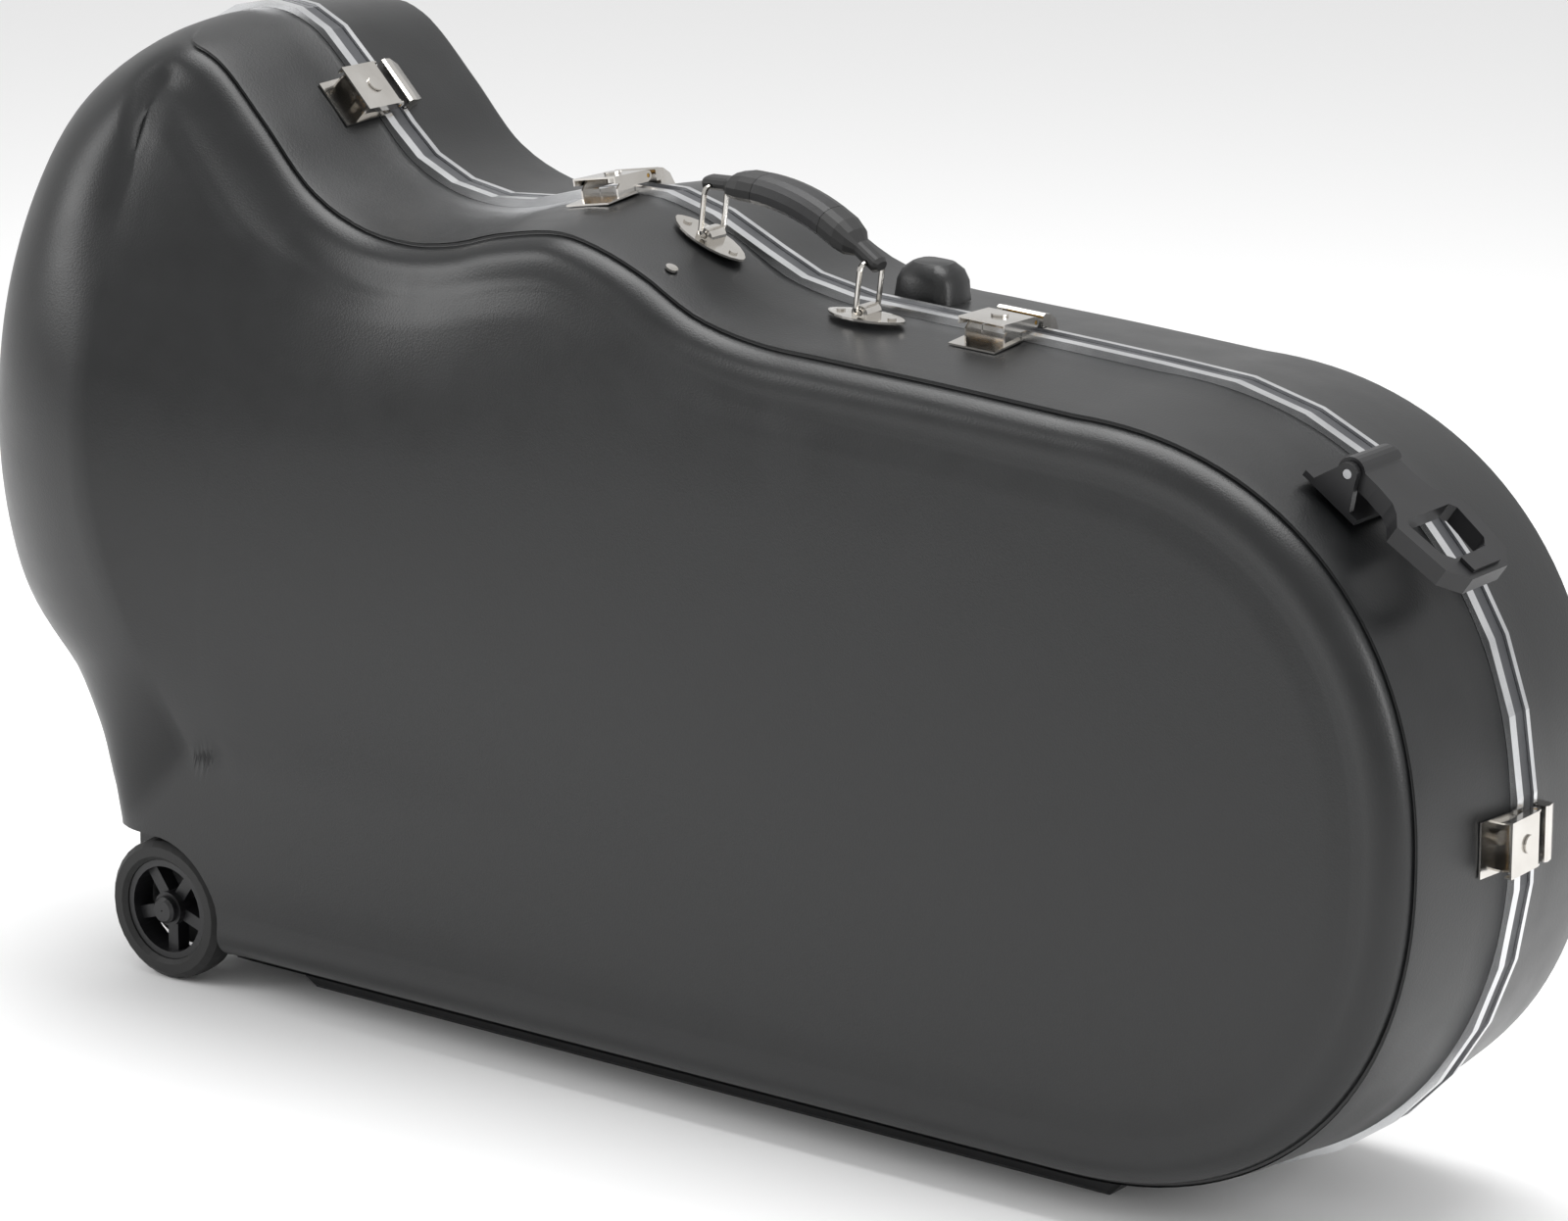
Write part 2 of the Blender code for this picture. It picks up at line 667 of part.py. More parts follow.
def wheel_pieces(side, looks):
    """Tyre, rim, axle and hub cap; side is -1 for the front wheel and 1 for the rear one."""
    name = "front" if side < 0 else "rear"
    turn = Matrix.Translation((AXLE_X, 0.0, TYRE_RADIUS)) @ Matrix.Scale(-side, 4, (0.0, 1.0, 0.0))
    flip = side > 0
    face, back = -TYRE_FACE_Y, -TYRE_FACE_Y + TYRE_WIDTH
    middle = (face + back) / 2.0
    inner = TYRE_INNER_RADIUS
    tyre_profile = (
        (inner, face + 0.003), (inner + 0.003, face), (TYRE_RADIUS - 0.005, face), (TYRE_RADIUS - 0.001, face + 0.004),
        (TYRE_RADIUS, middle), (TYRE_RADIUS - 0.001, back - 0.004), (TYRE_RADIUS - 0.005, back),
        (inner + 0.003, back), (inner, back - 0.003),
    )
    tyre = turned(tyre_profile, 32, turn)
    rim_outer = inner - SEAT
    rim_profile = (
        (rim_outer - 0.0045, face + 0.004), (rim_outer, face + 0.004), (rim_outer, back - 0.004),
        (rim_outer - 0.0045, back - 0.004),
    )
    rim = turned(rim_profile, 32, turn)
    hub_bore = AXLE_RADIUS + RUNNING
    hub_profile = (
        (hub_bore, face + 0.005), (HUB_RADIUS, face + 0.005), (HUB_RADIUS, back - 0.003), (hub_bore, back - 0.003),
    )
    hub = turned(hub_profile, 20, turn)
    spokes = []
    for k in range(SPOKES):
        angle = math.tau * (k + 0.25) / SPOKES
        low = (hub_bore + 0.003, face + 0.010, -SPOKE_WIDTH / 2.0)
        high = (rim_outer - 0.002, back - 0.006, SPOKE_WIDTH / 2.0)
        spokes.append(box(low, high, turn @ Matrix.Rotation(angle, 4, "Y")))
    axle_back = -RECESS_BACK_Y - SEAT
    axle_profile = (
        (0.0006, face + 0.006), (AXLE_RADIUS, face + 0.006), (AXLE_RADIUS, back - 0.0025 + RUNNING),
        (AXLE_FLANGE_RADIUS, back - 0.0025 + RUNNING), (AXLE_FLANGE_RADIUS, axle_back), (0.0006, axle_back),
    )
    axle = turned(axle_profile, 20, turn)
    cap_profile = (
        (0.0006, face - 0.001), (HUB_CAP_RADIUS - 0.002, face - 0.001), (HUB_CAP_RADIUS, face + 0.001),
        (HUB_CAP_RADIUS, face + 0.005 - SEAT), (0.0006, face + 0.005 - SEAT),
    )
    cap = turned(cap_profile, 20, turn)
    made = [tyre, rim, hub, *spokes, axle, cap]
    if flip:
        for piece in made:
            piece.data.flip_normals()
    rim = joined(rim, hub, *spokes)
    pivot = (AXLE_X, side * TYRE_FACE_Y, TYRE_RADIUS)
    on_axis(finish(tyre, f"tyre_{name}", looks["tyre"], True), pivot)
    on_axis(finish(rim, f"rim_{name}", looks["plastic"], True), pivot)
    on_axis(finish(cap, f"hub_cap_{name}", looks["plastic"], True), pivot)
    finish(axle, f"axle_{name}", looks["steel"], True)


def latch_pieces(name, x, z, looks):
    """Base, lever, lock cylinder, pin and strike of one latch."""
    place = frame_at(x, z)
    half = LATCH_WIDTH / 2.0
    rise = wall_rise(place, half)
    seat = rise + SEAT
    pin_y, pin_w = LATCH_PIN_Y, LATCH_PIN_HEIGHT + rise
    tip = pin_y - LEVER_LENGTH
    base_end = tip - 0.010
    rib_front = FRONT_RIB_Y[0] - SEAT
    over_rib = RIB_PROUD + rise + SEAT
    drop = draft_at(-base_end)
    plate = side_prism((
        (base_end, seat - drop), (rib_front, seat), (rib_front, seat + SHEET), (base_end, seat - drop + SHEET),
    ), -half, half, place)
    flange = [
        (tip + 0.004, seat + 0.0006 - draft_at(-tip - 0.004)), (rib_front - 0.0002, seat + 0.0005), (rib_front - 0.0002, over_rib),
        (pin_y + 0.0026, over_rib),
    ]
    flange += [(pin_y + a, pin_w + b) for a, b in arc_points(0.0026, -10.0, 90.0, 5)]
    flange += [(tip + 0.010, pin_w + 0.0020), (tip + 0.004, pin_w - 0.004)]
    inner = half - 2.0 * SHEET - RUNNING
    cheeks = [side_prism(flange, s * inner - SHEET / 2.0, s * inner + SHEET / 2.0, place) for s in (-1, 1)]
    base = joined(plate, *cheeks)
    hole = rod(LATCH_PIN_RADIUS + RUNNING, -0.03, 0.03, 10, place, (pin_y, pin_w), "u")
    cut(base, hole)
    finish(base, f"latch_base_{name}", looks["nickel"])

    pin = rod(LATCH_PIN_RADIUS, -half + 0.0002, half - 0.0002, 10, place, (pin_y, pin_w), "u")
    finish(pin, f"latch_pin_{name}", looks["brass"], True)

    top = pin_w + 0.0027
    sheet = side_prism(((tip, top + 0.0006), (pin_y - 0.0015, top), (pin_y - 0.0015, top + SHEET),
                        (tip, top + 0.0006 + SHEET)), -half, half, place)
    ear = [(pin_y + a, pin_w + b) for a, b in arc_points(0.0034, -90.0, 90.0, 7)]
    ear += [(pin_y - 0.002, top + 0.0006), (tip, top + 0.0010), (tip, top - 0.003)]
    ears = [side_prism(ear, s * (half - SHEET / 2.0) - SHEET / 2.0, s * (half - SHEET / 2.0) + SHEET / 2.0, place)
            for s in (-1, 1)]
    lever = joined(sheet, *ears)
    lock_y = pin_y - LEVER_LENGTH * 0.42
    cut(lever, rod(LATCH_PIN_RADIUS + RUNNING * 0.6, -0.03, 0.03, 10, place, (pin_y, pin_w), "u"),
        rod(LOCK_RADIUS + SEAT, top - 0.01, top + 0.01, 16, place, (0.0, lock_y), "w"))
    pivot = place @ Vector((0.0, pin_y, pin_w))
    on_axis(finish(lever, f"latch_lever_{name}", looks["nickel"]), pivot)

    lock = joined(
        rod(LOCK_RADIUS, top - 0.004, top + 0.0019, 16, place, (0.0, lock_y), "w"),
        rod(LOCK_RADIUS + 0.0010, top + 0.0018, top + 0.0030, 16, place, (0.0, lock_y), "w"),
    )
    on_axis(finish(lock, f"lock_cylinder_{name}", looks["nickel"], True), place @ Vector((0.0, lock_y, top)))

    rear_start = REAR_RIB_Y[0] + SEAT
    rear_wall = REAR_RIB_Y[1] + SEAT
    end = rear_start + STRIKE_LENGTH
    end_drop = draft_at(end + 0.004)
    crown = top + SHEET
    strike_side = (
        (rear_start, THIN_RIB_PROUD + rise + SEAT), (rear_wall + SEAT, THIN_RIB_PROUD + rise + SEAT),
        (rear_wall + SEAT, seat), (end, seat - end_drop), (end, seat - end_drop + SHEET),
        (end - 0.006, crown - 0.0060), (rear_start + 0.008, crown - 0.0012), (rear_start + 0.002, crown),
        (rear_start, crown - 0.0012),
    )
    strike = side_prism(strike_side, -half, half, place)
    taper = half * 0.30
    for s in (-1, 1):
        wedge = ((s * (half + 0.01), rear_start + 0.008), (s * (half + 0.0002), rear_start + 0.008),
                 (s * (half - taper), end + 0.002), (s * (half + 0.01), end + 0.002))
        cut(strike, flat_prism(wedge if s < 0 else wedge[::-1], -0.02, 0.04, place))
    finish(strike, f"latch_strike_{name}", looks["nickel"])


def arc_points(radius, start, stop, steps):
    """Points on an arc, angles in degrees from +v towards +w."""
    made = []
    for k in range(steps):
        angle = math.radians(blend(start, stop, k / (steps - 1)))
        made.append((radius * math.cos(angle), radius * math.sin(angle)))
    return made


def handle_frames():
    """For each plate: its frame, the height that its underside needs, and its wire's pivot point."""
    found = []
    for x in HANDLE_PLATE_X:
        place = frame_at(x, top_edge(x))
        under = wall_rise(place, PLATE_LENGTH / 2.0) - draft_at(-HANDLE_Y - PLATE_WIDTH / 2.0) + SEAT
        pivot = place @ Vector((0.0, HANDLE_Y, under + PLATE_THICKNESS + WIRE_RADIUS + RUNNING + 0.0004))
        found.append((place, under, pivot))
    return found


def handle_pieces(looks):
    frames = handle_frames()
    half_wire = BAIL_WIDTH / 2.0
    eyes = []
    for side, (place, under, pivot) in zip(("left", "right"), frames):
        outline = []
        for k in range(20):
            angle = math.tau * k / 20
            across = math.cos(angle) * PLATE_LENGTH / 2.0
            along = math.copysign(abs(math.sin(angle)) ** 1.25, math.sin(angle)) * PLATE_WIDTH / 2.0
            outline.append((across, HANDLE_Y + along))
        plate = flat_prism(outline, under, under + PLATE_THICKNESS, place)
        local = place.inverted() @ pivot
        hump = [(a * 1.35, max(b, -local.z + under + PLATE_THICKNESS - 0.0005))
                for a, b in arc_points(0.0046, 0.0, 180.0, 9)]
        hump = [(0.0062, under + PLATE_THICKNESS - 0.0005 - local.z), *hump,
                (-0.0062, under + PLATE_THICKNESS - 0.0005 - local.z)]
        hump = [(a, local.z + b) for a, b in hump]
        block = prism(hump, HANDLE_Y - half_wire + 0.0045, HANDLE_Y + half_wire - 0.0045, place)
        heads = [rod(0.0030, under + PLATE_THICKNESS - 0.0005, under + PLATE_THICKNESS + 0.0012, 10, place,
                     (s * PLATE_LENGTH * 0.34, HANDLE_Y), "w") for s in (-1, 1)]
        plate = joined(plate, block, *heads)
        tunnel = rod(WIRE_RADIUS + RUNNING, HANDLE_Y - 0.02, HANDLE_Y + 0.02, 12, place, (local.x, local.z), "v")
        cut(plate, tunnel)
        finish(plate, f"handle_plate_{side}", looks["nickel"])

        eye = pivot + Vector((BAIL_LEAN, 0.0, BAIL_HEIGHT))
        eyes.append(eye)
        up = (eye - pivot).normalized()
        path = []
        corner = 0.004
        for across, share in ((-1, 0), (1, 0), (1, 1), (-1, 1)):
            centre = pivot + up * blend(corner, BAIL_HEIGHT - corner, share)
            centre += Vector((0.0, across * (half_wire - corner), 0.0))
            start = {(-1, 0): 180.0, (1, 0): 270.0, (1, 1): 0.0, (-1, 1): 90.0}[(across, share)]
            for k in range(4):
                angle = math.radians(start + 30.0 * k)
                path.append(centre + Vector((0.0, math.cos(angle), 0.0)) * corner + up * math.sin(angle) * corner)
        bail = wire_loop(path, WIRE_RADIUS, 8)
        on_axis(finish(bail, f"bail_{side}", looks["nickel"], True), pivot)

    span = eyes[1] - eyes[0]
    length = span.length
    along = span.normalized()
    up = Vector((-along.z, 0.0, along.x))
    eye_line = eyes[0] + up * 0.0

    def section(s, width, height):
        rise = GRIP_RISE * math.sin(math.pi * min(1.0, max(0.0, s / length))) ** 0.8
        centre = eye_line + along * s + up * rise
        ring = []
        for k in range(14):
            angle = math.tau * k / 14
            across = math.copysign(abs(math.cos(angle)) ** 0.75, math.cos(angle)) * width / 2.0
            above = math.copysign(abs(math.sin(angle)) ** 0.75, math.sin(angle)) * height / 2.0
            ring.append(centre + Vector((0.0, across, 0.0)) + up * above)
        return ring

    grip_start = TAB_LENGTH + BOOT_LENGTH
    stations = [blend(grip_start, length - grip_start, k / 8) for k in range(9)]
    grip = loft([section(s, GRIP_WIDTH, GRIP_HEIGHT) for s in stations])
    finish(grip, "handle_grip", looks["leather"], True)
    for side, eye in zip(("left", "right"), eyes):
        sizes = (
            (-0.0080, TAB_WIDTH * 0.7, TAB_HEIGHT * 0.6), (-0.0055, TAB_WIDTH, TAB_HEIGHT),
            (TAB_LENGTH - 0.002, TAB_WIDTH, TAB_HEIGHT), (TAB_LENGTH + 0.004, GRIP_WIDTH * 0.86, GRIP_HEIGHT * 0.86),
            (TAB_LENGTH + 0.012, GRIP_WIDTH, GRIP_HEIGHT), (grip_start - SEAT, GRIP_WIDTH, GRIP_HEIGHT),
        )
        if side == "right":
            sizes = [(length - s, width, height) for s, width, height in sizes]
        boot = loft([section(*size) for size in sizes])
        bore = rod(WIRE_RADIUS + RUNNING, -0.03, 0.03, 12, Matrix.Translation(eye), (0.0, 0.0), "v")
        cut(boot, bore)
        finish(boot, f"handle_boot_{side}", looks["rubber"], True)
    for name in ("handle_grip", "handle_boot_left", "handle_boot_right"):
        on_axis(bpy.data.objects[name], eyes[0])


def tow_pieces(looks):
    """Tow handle, folded against the bow: base with two ears, pin, loop with its knuckle, and the soft insert."""
    place = frame_at(TOW_PIN_X, 0.473)
    half = TOW_BARREL_LENGTH / 2.0
    ear_out = half + RUNNING + TOW_EAR
    rise = wall_rise(place, 0.022)
    seat = rise + SEAT - draft_at(-TOW_Y - ear_out)
    pin_w = TOW_PIN_HEIGHT + rise
    near_rib = FRONT_RIB_Y[0] - SEAT
    high_y = min(TOW_Y + ear_out, near_rib)
    plate = box((-0.022, TOW_Y - ear_out, seat), (0.022, high_y, seat + 0.004), place)
    cheek = [(a, pin_w + b) for a, b in arc_points(0.0070, 0.0, 180.0, 9)]
    cheek += [(-0.016, seat + 0.002), (0.016, seat + 0.002)]
    ears = []
    for s in (-1, 1):
        low = TOW_Y + s * (half + RUNNING + TOW_EAR / 2.0) - TOW_EAR / 2.0
        ears.append(prism(cheek, low, low + TOW_EAR, place))
    base = joined(plate, *ears)
    cut(base, rod(TOW_PIN_RADIUS + SEAT, -0.12, 0.05, 14, place, (0.0, pin_w), "v"))
    finish(base, "tow_base", looks["plastic"])
    pin = rod(TOW_PIN_RADIUS, TOW_Y - ear_out + 0.0005, TOW_Y + ear_out - 0.0005, 14, place, (0.0, pin_w), "v")
    finish(pin, "tow_pin", looks["steel"], True)

    barrel = rod(TOW_BARREL_RADIUS, TOW_Y - half, TOW_Y + half, 20, place, (0.0, pin_w), "v")
    low_w = pin_w - TOW_THICKNESS / 2.0
    high_w = pin_w + TOW_THICKNESS / 2.0
    arm_half = TOW_BARREL_LENGTH / 2.0
    loop_half = TOW_LOOP_WIDTH / 2.0
    loop_start = TOW_ARM_LENGTH
    outline = [(0.002, TOW_Y - arm_half), (0.018, TOW_Y - arm_half), (loop_start - 0.004, TOW_Y - TOW_ARM_WIDTH / 2.0)]
    outline += [(loop_start + 0.004, TOW_Y - loop_half + 0.010), (loop_start + 0.012, TOW_Y - loop_half)]
    outline += [(TOW_LOOP_END - 0.012, TOW_Y - loop_half + 0.004), (TOW_LOOP_END, TOW_Y - loop_half + 0.018)]
    mirrored_side = [(u, 2.0 * TOW_Y - v) for u, v in reversed(outline)]
    frame = flat_prism(outline + mirrored_side, low_w, high_w, place)
    window_half = loop_half - TOW_BAR
    window = [
        (loop_start + 0.010, TOW_Y - window_half + 0.004), (loop_start + 0.014, TOW_Y - window_half),
        (TOW_LOOP_END - TOW_BAR - 0.012, TOW_Y - window_half + 0.003),
        (TOW_LOOP_END - TOW_BAR - 0.006, TOW_Y - window_half + 0.010),
    ]
    window += [(u, 2.0 * TOW_Y - v) for u, v in reversed(window)]
    loop = joined(barrel, frame)
    cut(loop, flat_prism(window, low_w - 0.01, high_w + 0.01, place),
        rod(TOW_PIN_RADIUS + RUNNING, -0.12, 0.05, 14, place, (0.0, pin_w), "v"))
    pivot = place @ Vector((0.0, TOW_Y, pin_w))
    on_axis(finish(loop, "tow_loop", looks["plastic"]), pivot)

    insert_low = TOW_LOOP_END - TOW_BAR - 0.004
    insert = box((insert_low, TOW_Y - window_half + 0.012, high_w + SEAT),
                 (TOW_LOOP_END - 0.004, TOW_Y + window_half - 0.012, high_w + 0.0025), place)
    on_axis(finish(insert, "tow_insert", looks["soft_plastic"]), pivot)


def hinge_pieces(index, x, looks):
    """Two leaves and a pin, on the lower edge between the runners."""
    number = index + 1
    start = x
    third = HINGE_LENGTH / 3.0
    place = Matrix.Translation((AXLE_X, 0.0, 0.0))
    centre = (HINGE_PIN_Y, HINGE_PIN_Z)
    rib_bottom = BOTTOM_Z - RIB_PROUD - SEAT
    thin_bottom = BOTTOM_Z - THIN_RIB_PROUD - SEAT
    front_leaf = side_prism((
        (FRONT_RIB_Y[0], rib_bottom - LEAF_THICKNESS), (HINGE_PIN_Y - KNUCKLE_RADIUS - 0.0008, rib_bottom - LEAF_THICKNESS),
        (HINGE_PIN_Y - KNUCKLE_RADIUS - 0.0008, rib_bottom), (FRONT_RIB_Y[0], rib_bottom),
    ), start, start + HINGE_LENGTH, place)
    rear_leaf = side_prism((
        (HINGE_PIN_Y + KNUCKLE_RADIUS + 0.0008, thin_bottom - LEAF_THICKNESS), (0.024, thin_bottom - LEAF_THICKNESS),
        (0.024, thin_bottom), (HINGE_PIN_Y + KNUCKLE_RADIUS + 0.0008, thin_bottom),
    ), start, start + HINGE_LENGTH, place)
    for k in range(3):
        low = start + k * third + (0.0002 if k else 0.0)
        high = start + (k + 1) * third - (0.0002 if k < 2 else 0.0)
        knuckle = rod(KNUCKLE_RADIUS, low, high, 14, place, centre, "u")
        if k == 1:
            reach = side_prism((
                (HINGE_PIN_Y + 0.0018, HINGE_PIN_Z + 0.0005), (HINGE_PIN_Y + KNUCKLE_RADIUS + 0.0020, thin_bottom - LEAF_THICKNESS),
                (HINGE_PIN_Y + KNUCKLE_RADIUS + 0.0020, thin_bottom), (HINGE_PIN_Y + 0.0018, HINGE_PIN_Z + 0.0030),
            ), low, high, place)
            rear_leaf = joined(rear_leaf, knuckle, reach)
        else:
            reach = side_prism((
                (HINGE_PIN_Y - KNUCKLE_RADIUS - 0.0020, rib_bottom - LEAF_THICKNESS), (HINGE_PIN_Y - 0.0018, HINGE_PIN_Z + 0.0005),
                (HINGE_PIN_Y - 0.0018, HINGE_PIN_Z + 0.0030), (HINGE_PIN_Y - KNUCKLE_RADIUS - 0.0020, rib_bottom),
            ), low, high, place)
            front_leaf = joined(front_leaf, knuckle, reach)
    for leaf in (front_leaf, rear_leaf):
        cut(leaf, rod(HINGE_PIN_RADIUS + 0.0003, start - 0.01, start + HINGE_LENGTH + 0.01, 12, place, centre, "u"))
    finish(front_leaf, f"hinge_{number}_front_leaf", looks["steel"])
    finish(rear_leaf, f"hinge_{number}_rear_leaf", looks["steel"])
    pin = rod(HINGE_PIN_RADIUS, start, start + HINGE_LENGTH, 12, place, centre, "u")
    finish(pin, f"hinge_{number}_pin", looks["steel"], True)


def build():
    clear_scene()
    looks = {
        "abs": material("moulded_abs", (0.022, 0.023, 0.025), 0.45),
        "aluminium": material("aluminium_profile", (0.80, 0.80, 0.81), 0.25, 1.0),
        "band": material("grey_band", (0.07, 0.07, 0.075), 0.5),
        "plush": material("plush_lining", (0.03, 0.03, 0.035), 0.95),
        "plastic": material("black_plastic", (0.018, 0.018, 0.019), 0.4),
        "soft_plastic": material("soft_plastic", (0.03, 0.03, 0.03), 0.8),
        "tyre": material("black_rubber", (0.02, 0.02, 0.02), 0.7),
        "rubber": material("boot_rubber", (0.02, 0.02, 0.02), 0.6),
        "leather": material("padded_leather", (0.02, 0.02, 0.02), 0.5),
        "nickel": material("nickel_plate", (0.74, 0.72, 0.69), 0.2, 1.0),
        "brass": material("brass_pin", (0.70, 0.52, 0.25), 0.3, 1.0),
        "steel": material("zinc_steel", (0.55, 0.55, 0.56), 0.35, 1.0),
    }
    finish(half_shell(False), "front_shell", looks["abs"], True)
    rear = joined(half_shell(True), bump())
    finish(rear, "rear_shell", looks["abs"], True)
    finish(edge_strip(*FRONT_RIB_Y, RIB_PROUD), "front_profile", looks["aluminium"])
    finish(edge_strip(*BAND_Y, BAND_PROUD), "profile_band", looks["band"])
    finish(edge_strip(*REAR_RIB_Y, THIN_RIB_PROUD), "rear_profile", looks["aluminium"])
    finish(half_lining(False), "front_lining", looks["plush"], True)
    finish(half_lining(True), "rear_lining", looks["plush"], True)
    finish(runner(), "runner_front", looks["plastic"])
    finish(mirrored(runner()), "runner_rear", looks["plastic"])
    wheel_pieces(-1, looks)
    wheel_pieces(1, looks)
    for name, x, z in LATCH_PLACES:
        latch_pieces(name, x, z, looks)
    handle_pieces(looks)
    tow_pieces(looks)
    for index, x in enumerate(HINGE_PLACES):
        hinge_pieces(index, x, looks)
    rivet_place = frame_at(RIVET_PLACE[0], top_edge(RIVET_PLACE[0]))
    rivet_low = -draft_at(-RIVET_PLACE[1] - RIVET_RADIUS) + SEAT
    rivet = rod(RIVET_RADIUS, rivet_low, rivet_low + 0.0016, 12, rivet_place, (0.0, RIVET_PLACE[1]), "w")
    finish(rivet, "small_rivet", looks["nickel"], True)
    centre_lengthways()


def centre_lengthways():
    """Slides the whole case along X so that its middle is over the origin."""
    pieces = [thing for thing in bpy.context.scene.objects if thing.type == "MESH"]
    bpy.context.view_layer.update()
    places = [(piece.matrix_world @ vertex.co).x for piece in pieces for vertex in piece.data.vertices]
    for piece in pieces:
        piece.location.x -= (min(places) + max(places)) / 2.0


build()
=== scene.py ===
"""Tuba case seen from the bell end's front, on a pale floor in soft studio light."""
import json
import math

import bmesh
import bpy
from mathutils import Matrix, Vector

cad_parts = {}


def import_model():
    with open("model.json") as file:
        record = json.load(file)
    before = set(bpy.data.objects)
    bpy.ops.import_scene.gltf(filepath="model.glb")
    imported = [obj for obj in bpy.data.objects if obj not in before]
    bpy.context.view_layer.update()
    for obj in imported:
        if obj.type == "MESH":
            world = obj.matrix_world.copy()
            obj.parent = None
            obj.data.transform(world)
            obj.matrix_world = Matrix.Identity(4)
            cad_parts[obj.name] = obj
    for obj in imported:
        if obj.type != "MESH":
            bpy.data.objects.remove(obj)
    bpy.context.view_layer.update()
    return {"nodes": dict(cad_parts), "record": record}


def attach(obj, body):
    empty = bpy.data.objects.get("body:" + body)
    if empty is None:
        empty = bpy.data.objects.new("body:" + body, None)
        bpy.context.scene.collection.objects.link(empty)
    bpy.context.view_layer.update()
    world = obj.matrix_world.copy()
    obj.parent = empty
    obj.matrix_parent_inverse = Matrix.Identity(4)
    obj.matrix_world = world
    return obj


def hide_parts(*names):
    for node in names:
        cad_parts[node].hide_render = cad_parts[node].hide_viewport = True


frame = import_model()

BOTTOM_Z = 0.017
BOW_TOP_Z = 0.517
BOW_END_X = 0.999
BOW_LENGTH = 0.254
BOW_SQUARENESS = 2.2
FOOT_X = -0.050
FOOT_CORNER_RADIUS = 0.045
TOP_LINE = (
    (0.649, 0.522), (0.560, 0.5255), (0.510, 0.528), (0.463, 0.538), (0.421, 0.559), (0.382, 0.573),
    (0.346, 0.578), (0.297, 0.570), (0.262, 0.560), (0.225, 0.5555), (0.185, 0.561), (0.146, 0.580),
    (0.108, 0.619), (0.068, 0.656), (0.028, 0.667), (-0.015, 0.655), (-0.062, 0.620), (-0.095, 0.563),
    (-0.119, 0.490), (-0.133, 0.400), (-0.134, 0.320), (-0.122, 0.262), (-0.083, 0.205), (-0.058, 0.165),
    (FOOT_X, 0.125),
)
WALL = 0.004
WALL_DRAFT = 0.008
WALL_DEPTH = 0.103
GROOVE_DEPTH = 0.1045
PANEL_DEPTH = 0.1225
PANEL_EDGE = 0.046
BELL_DEPTH = 0.2165
BELL_CENTRE_Z = 0.410
BELL_HALF_HEIGHT = 0.240
BELL_FLARE_LENGTH = 0.190
CREASE_X = 0.035
CREASE_TOP_Z = 0.608
CREASE_BOTTOM_Z = 0.066
END_ROUNDING = 2.4
FOOT_ROUNDING = 6.0
FRONT_RIB_Y = (-0.0140, -0.0070)
REAR_RIB_Y = (0.0060, 0.0100)
SEAT = 0.0003
TYRE_RADIUS = 0.050
RECESS_RADIUS = 0.056
RECESS_BACK_Y = 0.0845
BUMP_X = 0.531
BUMP_SIZE = (0.046, 0.040, 0.021)
BUMP_Y = 0.048
PLAIN_WALL = ((0.0, 0.0), (WALL_DRAFT, WALL_DEPTH - 0.002), (WALL_DRAFT + 0.012, 0.116), (PANEL_EDGE, PANEL_DEPTH))
PLAIN_DOME = (1.0, 0.96, 0.75, 0.0)

CHORD_SAG = 0.00012
LONGEST_CHORD = 0.012
INNER_RINGS = tuple(0.05 * k for k in range(1, 20))
AXLE_X = -0.43704

def blend(a, b, t):
    return a + (b - a) * t


def smooth_step(t):
    t = min(1.0, max(0.0, t))
    return t * t * (3.0 - 2.0 * t)


def curve_through(points, steps):
    """Points on a smooth curve through the given points, which starts and ends along its first and last span."""
    first = points[0] * 2.0 - points[1]
    last = points[-1] * 2.0 - points[-2]
    padded = [first, *points, last]
    made = []
    for i in range(1, len(padded) - 2):
        p0, p1, p2, p3 = padded[i - 1:i + 3]
        for k in range(steps):
            t = k / steps
            bend = (p2 - p0) * t
            bend += (p0 * 2.0 - p1 * 5.0 + p2 * 4.0 - p3) * t * t
            bend += (p1 * 3.0 - p0 - p2 * 3.0 + p3) * t * t * t
            made.append(p1 + bend * 0.5)
    made.append(points[-1])
    return made


def even_spacing(points, step):
    """The closed line through the points, read again at an even spacing."""
    closed = [*points, points[0]]
    lengths = [0.0]
    for a, b in zip(closed, closed[1:]):
        lengths.append(lengths[-1] + (b - a).length)
    count = round(lengths[-1] / step)
    made = []
    k = 0
    for i in range(count):
        at = lengths[-1] * i / count
        while lengths[k + 1] < at:
            k += 1
        span = lengths[k + 1] - lengths[k]
        made.append(closed[k].lerp(closed[k + 1], (at - lengths[k]) / span))
    return made


def fine_outline():
    """Closed wall outline, counter-clockwise seen from the front, as closely spaced (x, z) points."""
    bow_x = BOW_END_X - BOW_LENGTH
    bow_z = (BOW_TOP_Z + BOTTOM_Z) / 2.0
    rise = (BOW_TOP_Z - BOTTOM_Z) / 2.0
    top = [Vector((bow_x, BOW_TOP_Z))]
    top += [Vector(point) for point in TOP_LINE]
    made = curve_through(top, 24)
    corner = Vector((FOOT_X + FOOT_CORNER_RADIUS, BOTTOM_Z + FOOT_CORNER_RADIUS))
    for k in range(41):
        angle = math.pi + k / 40 * math.pi / 2.0
        made.append(corner + Vector((math.cos(angle), math.sin(angle))) * FOOT_CORNER_RADIUS)
    power = 2.0 / BOW_SQUARENESS
    for k in range(240):
        angle = -math.pi / 2.0 + math.pi * k / 240
        across = max(0.0, math.cos(angle)) ** power
        up = math.copysign(abs(math.sin(angle)) ** power, math.sin(angle))
        made.append(Vector((bow_x + BOW_LENGTH * across, bow_z + rise * up)))
    return even_spacing(made, 0.002)


